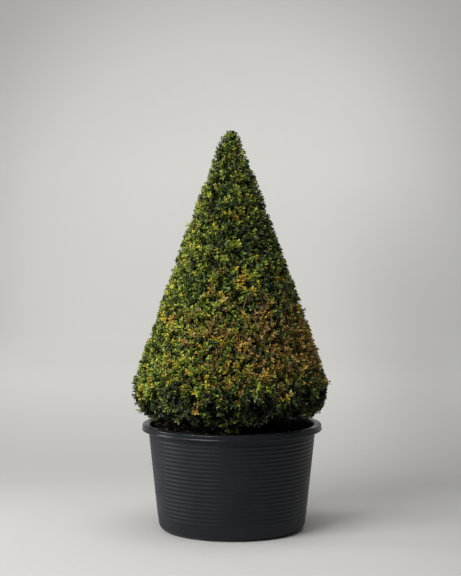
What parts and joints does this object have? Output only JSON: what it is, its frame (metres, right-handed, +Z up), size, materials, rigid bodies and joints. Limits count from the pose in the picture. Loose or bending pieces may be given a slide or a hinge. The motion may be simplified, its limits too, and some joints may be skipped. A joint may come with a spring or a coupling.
{
  "type": "potted boxwood cone topiary",
  "caption": "Clipped boxwood cone on a short stem, its foot in loose lobes of foliage, growing in a round ribbed plastic tub with a turned-down rim, filled with compost.",
  "frame": {"origin": "the middle of the tub's flat underside, on the surface that it stands on", "axes": "+Z up through the tip of the cone, -Y towards the front, +X to the right seen from the front"},
  "size_m": [0.5939, 0.5867, 1.222],
  "materials": {
    "tub_plastic": "charcoal moulded polyethylene, satin-matt, dulled by handling",
    "compost": "dark moist potting compost with fallen leaves",
    "bark": "pale grey-brown ridged bark",
    "foliage": "small glossy evergreen leaves, from dark green through yellow-green to bronze"
  },
  "bodies": {
    "root": {"tub": "tub_plastic", "compost": "compost", "stem": "bark", "crown": "foliage", "bough_1": "bark", "bough_2": "bark", "bough_3": "bark", "bough_4": "bark", "bough_5": "bark", "bough_6": "bark", "bough_7": "bark", "bough_8": "bark", "lower_mass_1": "foliage", "lower_mass_2": "foliage", "lower_mass_3": "foliage", "lower_mass_4": "foliage", "lower_mass_5": "foliage", "lower_mass_6": "foliage", "lower_mass_7": "foliage", "lower_mass_8": "foliage"}
  },
  "joints": []
}
